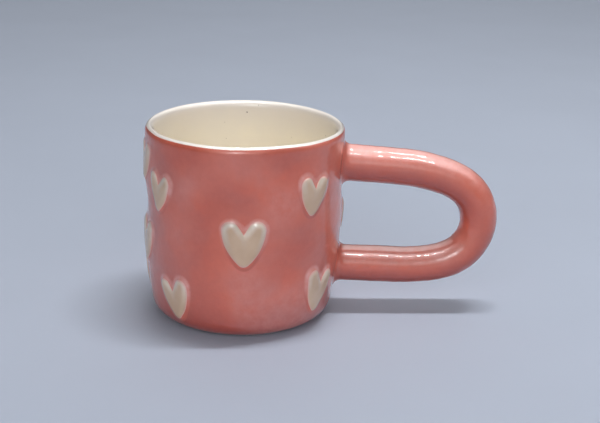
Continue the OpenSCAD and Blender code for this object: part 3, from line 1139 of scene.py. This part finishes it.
def cream_glaze(f):
    """The cream coat: near white at the lip, where it is thin, and butter yellow low
    inside, where it lies thick, with a few tiny iron specks."""
    t = tints()
    depth = f.between(f.height(), cup_height - 2, cup_height - 16)
    patches = f.between(f.cloud(14, detail=3, rough=0.55), 0.3, 0.7, 0.75, 1)
    colour = f.mixed(f.maths("MULTIPLY", depth, patches), t.cream, t.butter)
    specks = f.between(f.cloud(1.3, detail=0), 0.875, 0.89, 0, 0.7)
    f.colour(f.mixed(specks, colour, t.speck))
    f.gloss()
    f.bumps((f.cloud(8), 0.12), (f.cloud(2.6), 0.03))


def face_glaze(f):
    """The cream on a heart: brushed patches of cream and beige, paler along the lobes'
    crest as a painted highlight, and pink showing at its thin rim."""
    t = tints()
    colour = f.mixed(f.between(f.cloud(9), 0.3, 0.65, 0.6, 1), t.bisque, t.beige)
    # A painted highlight along the crest of the lobes
    colour = f.mixed(f.patchy("crest", f.cloud(5), 0.3, 0.6, 0.35, 0.7), colour, t.cream)
    f.colour(f.mixed(f.patchy("thin", f.cloud(3), 0.3, 0.6, 0.3, 0.8), colour, t.blush))
    f.gloss()
    f.bumps((f.cloud(4), 0.14), (f.cloud(1.6), 0.03))


def bare_clay(f):
    """Unglazed clay: sandy grains and the drag marks of a damp sponge."""
    t = tints()
    grains = f.cloud(0.7, detail=3, rough=0.6)
    stains = f.between(f.cloud(14, detail=4, rough=0.6), 0.4, 0.7, 0, 0.5)
    f.colour(f.mixed(stains, f.mixed(f.between(grains, 0.3, 0.7), t.clay, t.sand), t.sand))
    f.join(f.surface, {"Roughness": 0.85})
    long_place = f.add("ShaderNodeMapping", {"Vector": f.place, "Scale": (1, 9, 1)}).outputs[0]
    marks = f.add("ShaderNodeTexNoise", {"Vector": long_place, "Scale": 130, "Detail": 3})
    f.bumps((marks.outputs["Fac"], 0.10), (grains, 0.06))


def floor_finish(f):
    """A plain pale floor with a faint variation."""
    t = tints()
    f.colour(f.mixed(f.between(f.cloud(90, detail=3), 0.3, 0.7, 0, 0.25), t.floor, t.floor_shade))
    f.join(f.surface, {"Roughness": 0.6, "Specular IOR Level": 0.15})


FINISHES = {"Pink glaze": pink_glaze, "Pink sprig glaze": pink_glaze, "Cream glaze": cream_glaze,
            "Cream face glaze": face_glaze, "Bare clay": bare_clay, "Pale floor": floor_finish}


def finish(name):
    """A material by its name, made by its own function the first time."""
    if name not in bpy.data.materials:
        FINISHES[name](Finish(name))
    return bpy.data.materials[name]


# The stage

# The camera's place in millimetres, its focal length in pixels of a picture 600 wide, its
# yaw, pitch and roll in radians, and the width of its film in millimetres
CAMERA_PLACE = (0, -484.0, 207.6)
FOCAL_PIXELS = 1150
PICTURE_WIDTH = 600
YAW, PITCH, ROLL = 0.0506, 0.3232, 0.0249
FILM_WIDTH = 36

# Half the floor's width in metres, and the sky's colour and strength
FLOOR_REACH = 12.0
SKY_COLOUR = (0.90, 0.95, 1.0, 1)
SKY_STRENGTH = 0.08

# The lights: name, place and aim in metres, width and depth in metres, power in watts, and
# what else sets a light apart. Some light only the body colour and some only the gloss.
# Two are rows of short lamps, by two sines of this ratio, whose sum is full at this edge.
CUP_MIDDLE = (0.1, 0, 0.05)
BREAK_RATIO = 1.63
BREAK_EDGE = 0.3
FOR_BODY = {"edge": 0.02, "gloss": False}
FOR_GLOSS = {"body": False}
LIGHTS = [
    ("ceiling", (0.1, 0.9, 1.3), (0.1, 0.89, 0), (3.4, 3.2), 12, {}),
    ("window", (-0.3, -1.8, 0.75), (0, 0, 0.05), (3.6, 1.5), 28, {}),
    ("fill", (0, -1.6, 0.95), (0, 0, 0.1), (3.4, 0.8), 14, FOR_BODY),
    ("rear", (0.1, 1.9, 0.35), (0, 0, 0.15), (3.4, 0.8), 10, FOR_BODY),
    ("lamp", (0.24, 0, 1.2), (0.24, 0.01, 0), (0.6, 0.05), 8, FOR_BODY),
    ("sky", (0.4, 1.0, 1.2), (0.4, 0.1, 0), (4.0, 2.6), 66, FOR_GLOSS),
    ("strip_back", (0.1, 0.24, 1.2), CUP_MIDDLE, (1.2, 0.06), 19,
     {"edge": 0.1, "breaks": 8, "body": False}),
    ("strip_front", (0.1, -0.36, 1.1), CUP_MIDDLE, (1.2, 0.05), 18,
     {"edge": 0.1, "breaks": 9, "body": False}),
    ("canopy", (0.6, -0.1, 1.25), (0.6, -0.09, 0), (4.4, 2.0), 105, FOR_GLOSS),
    ("glint", (-0.2, -1.2, 0.62), (0, 0, 0.05), (0.6, 0.5), 8, FOR_GLOSS),
]


def staged(name, data):
    """Links a new object of the stage."""
    thing = bpy.data.objects.new(name, data)
    bpy.context.scene.collection.objects.link(thing)
    return thing


def soft_light(name, place, aim, size, power, edge=0.5, breaks=0, body=True, gloss=True):
    """A rectangular light at a place, turned to its aim. Its glow fades over a share of
    its size at each edge, and breaks splits it into a row of short lamps, by the sum of
    two sines."""
    data = bpy.data.lights.new(name, "AREA")
    data.shape = "RECTANGLE"
    data.size, data.size_y = size
    data.energy = power
    data.use_nodes = True
    glow = Nodes(data.node_tree)
    spot = glow.add("ShaderNodeNewGeometry").outputs["Parametric"]
    along, across = glow.add("ShaderNodeSeparateXYZ", {0: spot}).outputs[:2]
    fade = [glow.between(glow.maths("PINGPONG", way, 0.5), 0, edge) for way in (along, across)]
    strength = glow.maths("MULTIPLY", *fade)
    if breaks:
        rows = [glow.maths("SINE", glow.maths("MULTIPLY", along, 2 * pi * count), 0)
                for count in (breaks, BREAK_RATIO * breaks)]
        lit = glow.between(glow.maths("ADD", *rows), 0, BREAK_EDGE)
        strength = glow.maths("MULTIPLY", strength, lit)
    glow.join(glow.tree.nodes["Emission"], {"Strength": strength})
    light = staged(name, data)
    facing = (Vector(aim) - Vector(place)).to_track_quat("-Z", "Y")
    light.matrix_world = Matrix.Translation(place) @ facing.to_matrix().to_4x4()
    light.visible_diffuse = body
    light.visible_glossy = gloss


def pale_floor():
    """A square floor, a piece of the stage and not of the cup."""
    mesh = bpy.data.meshes.new("floor")
    ways = ((-1, -1), (1, -1), (1, 1), (-1, 1))
    corners = [(x * FLOOR_REACH, y * FLOOR_REACH, 0) for x, y in ways]
    mesh.from_pydata(corners, [], [(0, 1, 2, 3)])
    mesh.materials.append(finish("Pale floor"))
    floor = staged("floor", mesh)


def soft_sky():
    """An even, faint light from all round."""
    world = bpy.data.worlds.new("Soft sky")
    world.use_nodes = True
    sky = Nodes(world.node_tree)
    sky.join(sky.tree.nodes["Background"], {"Color": SKY_COLOUR, "Strength": SKY_STRENGTH})
    bpy.context.scene.world = world


def camera():
    """The camera, looking ahead by its yaw and pitch and turned on its axis by its roll."""
    yaw = Vector((cos(YAW), -sin(YAW), 0))
    forward = Vector((sin(YAW) * cos(PITCH), cos(YAW) * cos(PITCH), -sin(PITCH)))
    upright = yaw.cross(forward)
    right = cos(ROLL) * yaw + sin(ROLL) * upright
    up = cos(ROLL) * upright - sin(ROLL) * yaw
    turn = Matrix((right, up, -forward)).transposed()
    data = bpy.data.cameras.new("camera")
    data.sensor_width = FILM_WIDTH
    data.lens = FOCAL_PIXELS / PICTURE_WIDTH * FILM_WIDTH
    data.clip_start = 0.01
    viewer = staged("camera", data)
    viewer.matrix_world = Matrix.Translation(Vector(CAMERA_PLACE) * MM) @ turn.to_4x4()
    bpy.context.scene.camera = viewer
    bpy.context.scene.view_settings.view_transform = "Standard"


# The add-on

class CUP_OT_stage(bpy.types.Operator):
    """Sets the floor, the lights and the camera"""

    bl_idname = "cup.stage"
    bl_label = "Stage"

    def execute(self, context):
        pale_floor()
        soft_sky()
        for name, place, aim, size, power, more in LIGHTS:
            soft_light(name, place, aim, size, power, **more)
        camera()
        return {"FINISHED"}


class CUP_OT_clay_body(bpy.types.Operator):
    """Builds the floor slab, the wall and the coil between them"""

    bl_idname = "cup.clay_body"
    bl_label = "Clay body"

    def execute(self, context):
        floor_slab()
        wall()
        seam_coil()
        return {"FINISHED"}


class CUP_OT_coats(bpy.types.Operator):
    """Builds the pink coat and the cream coat"""

    bl_idname = "cup.coats"
    bl_label = "Glaze coats"

    def execute(self, context):
        pink_coat()
        cream_coat()
        return {"FINISHED"}


class CUP_OT_handle(bpy.types.Operator):
    """Builds the handle's coat, its clay coil and the slip round its roots"""

    bl_idname = "cup.handle"
    bl_label = "Handle"

    def execute(self, context):
        back = coil_rings(sizes("body").glaze, COIL_BACK_STEP, ROOT_BACK_ROWS)
        handle_coat(back)
        coil = clay_coil()
        luting("upper_luting", back, coil)
        luting("lower_luting", back[::-1], coil[::-1])
        return {"FINISHED"}


class CUP_OT_hearts(bpy.types.Operator):
    """Builds the pressed hearts and their cream faces"""

    bl_idname = "cup.hearts"
    bl_label = "Hearts"

    def execute(self, context):
        for seed, heart in enumerate(HEARTS):
            sprig(heart)
            painted_face(heart, seed)
        return {"FINISHED"}


OPERATORS = (CUP_OT_stage, CUP_OT_clay_body, CUP_OT_coats, CUP_OT_handle, CUP_OT_hearts)


class CUP_PT_panel(bpy.types.Panel):
    """Lists the steps that build the cup and its settings"""

    bl_label = "Ceramic cup"
    bl_space_type = "VIEW_3D"
    bl_region_type = "UI"
    bl_category = "Cup"

    def draw(self, context):
        settings = context.scene.ceramic_cup
        for operator in OPERATORS:
            self.layout.operator(operator.bl_idname)
        for group in (settings.body, settings.handle, settings.heart, settings.colours):
            box = self.layout.box()
            for key in type(group).__annotations__:
                box.prop(group, key)


CLASSES = (CupBodySizes, CupHandleSizes, CupHeartSizes, CupColours, CupSettings,
           *OPERATORS, CUP_PT_panel)


def register():
    """Adds the classes and the cup's settings to Blender."""
    for made in CLASSES:
        bpy.utils.register_class(made)
    bpy.types.Scene.ceramic_cup = bpy.props.PointerProperty(type=CupSettings)


def unregister():
    """Takes the settings and the classes out again."""
    del bpy.types.Scene.ceramic_cup
    for made in reversed(CLASSES):
        bpy.utils.unregister_class(made)


def main():
    """Builds the stage and the cup."""
    register()
    bpy.ops.cup.stage()
    bpy.ops.cup.clay_body()
    bpy.ops.cup.coats()
    bpy.ops.cup.handle()
    bpy.ops.cup.hearts()


if __name__ == "__main__":
    main()
